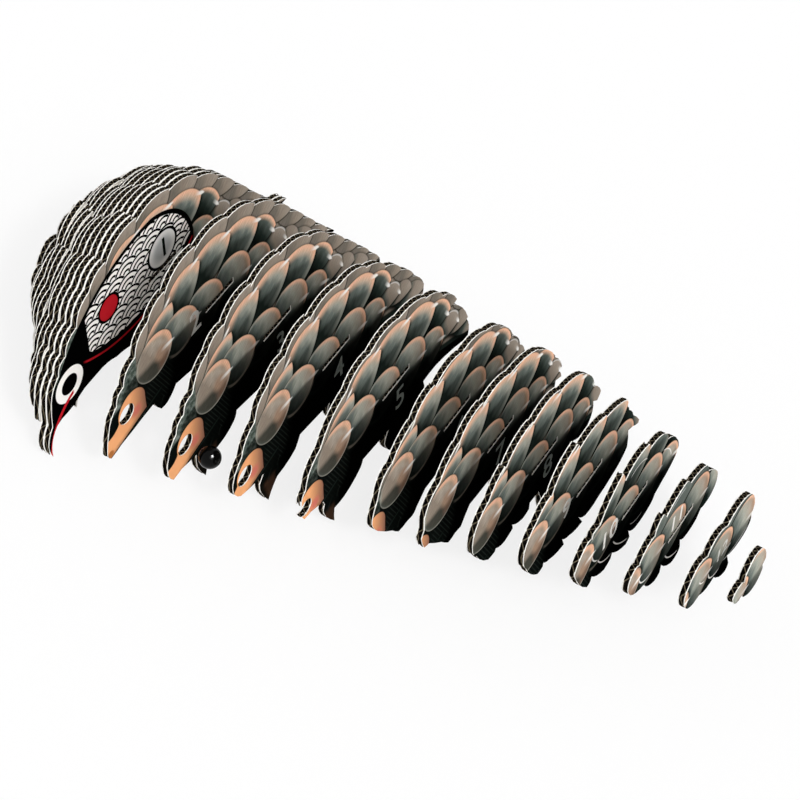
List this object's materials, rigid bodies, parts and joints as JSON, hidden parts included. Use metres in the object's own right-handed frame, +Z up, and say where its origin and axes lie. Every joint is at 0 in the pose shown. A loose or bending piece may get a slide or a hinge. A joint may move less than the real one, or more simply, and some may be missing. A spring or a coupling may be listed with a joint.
{
  "type": "three-dimensional animal puzzle",
  "caption": "Layered scaly animal puzzle of fluted board slices: one half pressed together, the other spread out along the stacking axis, with bead eyes.",
  "frame": {"origin": "on the floor under the middle slices' tail, in the plane between the two halves", "axes": "+X towards the tail, +Y along the stacking axis from the animal's left side to its right side, +Z up"},
  "size_m": [0.1816, 0.334, 0.0877],
  "materials": {
    "board": "matte print, white cut edges",
    "bead": "glossy black"
  },
  "bodies": {
    "right_half": {"right_slice_1": "board", "right_slice_2": "board", "right_slice_3": "board", "right_slice_4": "board", "right_slice_5": "board", "right_slice_6": "board", "right_slice_7": "board", "right_slice_8": "board", "right_slice_9": "board", "right_slice_10": "board", "right_slice_11": "board", "right_slice_12": "board", "right_slice_13": "board", "left_slice_1": "board", "joining_strip": "board", "right_eye_bead": "bead"},
    "left_slice_2": {"left_slice_2": "board"},
    "left_slice_3": {"left_slice_3": "board"},
    "left_slice_4": {"left_slice_4": "board"},
    "left_slice_5": {"left_slice_5": "board"},
    "left_slice_6": {"left_slice_6": "board"},
    "left_slice_7": {"left_slice_7": "board"},
    "left_slice_8": {"left_slice_8": "board"},
    "left_slice_9": {"left_slice_9": "board"},
    "left_slice_10": {"left_slice_10": "board"},
    "left_slice_11": {"left_slice_11": "board"},
    "left_slice_12": {"left_slice_12": "board"},
    "left_slice_13": {"left_slice_13": "board"},
    "left_eye_bead": {"left_eye_bead": "bead"}
  },
  "joints": [
    {"name": "left_slice_2_slide", "type": "slide", "parent": "right_half", "child": "left_slice_2", "axis": [0, 1, 0], "range_m": [0, 0.0269]},
    {"name": "left_slice_3_slide", "type": "slide", "parent": "left_slice_2", "child": "left_slice_3", "axis": [0, 1, 0], "range_m": [0, 0.0269]},
    {"name": "left_slice_4_slide", "type": "slide", "parent": "left_slice_3", "child": "left_slice_4", "axis": [0, 1, 0], "range_m": [0, 0.0269]},
    {"name": "left_slice_5_slide", "type": "slide", "parent": "left_slice_4", "child": "left_slice_5", "axis": [0, 1, 0], "range_m": [0, 0.0269]},
    {"name": "left_slice_6_slide", "type": "slide", "parent": "left_slice_5", "child": "left_slice_6", "axis": [0, 1, 0], "range_m": [0, 0.0269]},
    {"name": "left_slice_7_slide", "type": "slide", "parent": "left_slice_6", "child": "left_slice_7", "axis": [0, 1, 0], "range_m": [0, 0.0179]},
    {"name": "left_slice_8_slide", "type": "slide", "parent": "left_slice_7", "child": "left_slice_8", "axis": [0, 1, 0], "range_m": [0, 0.0179]},
    {"name": "left_slice_9_slide", "type": "slide", "parent": "left_slice_8", "child": "left_slice_9", "axis": [0, 1, 0], "range_m": [0, 0.0179]},
    {"name": "left_slice_10_slide", "type": "slide", "parent": "left_slice_9", "child": "left_slice_10", "axis": [0, 1, 0], "range_m": [0, 0.0179]},
    {"name": "left_slice_11_slide", "type": "slide", "parent": "left_slice_10", "child": "left_slice_11", "axis": [0, 1, 0], "range_m": [0, 0.0179]},
    {"name": "left_slice_12_slide", "type": "slide", "parent": "left_slice_11", "child": "left_slice_12", "axis": [0, 1, 0], "range_m": [0, 0.0179]},
    {"name": "left_slice_13_slide", "type": "slide", "parent": "left_slice_12", "child": "left_slice_13", "axis": [0, 1, 0], "range_m": [0, 0.0129]},
    {"name": "left_eye_bead_slide", "type": "slide", "parent": "left_slice_3", "child": "left_eye_bead", "axis": [0, 1, 0], "range_m": [0, 0.0134]}
  ]
}
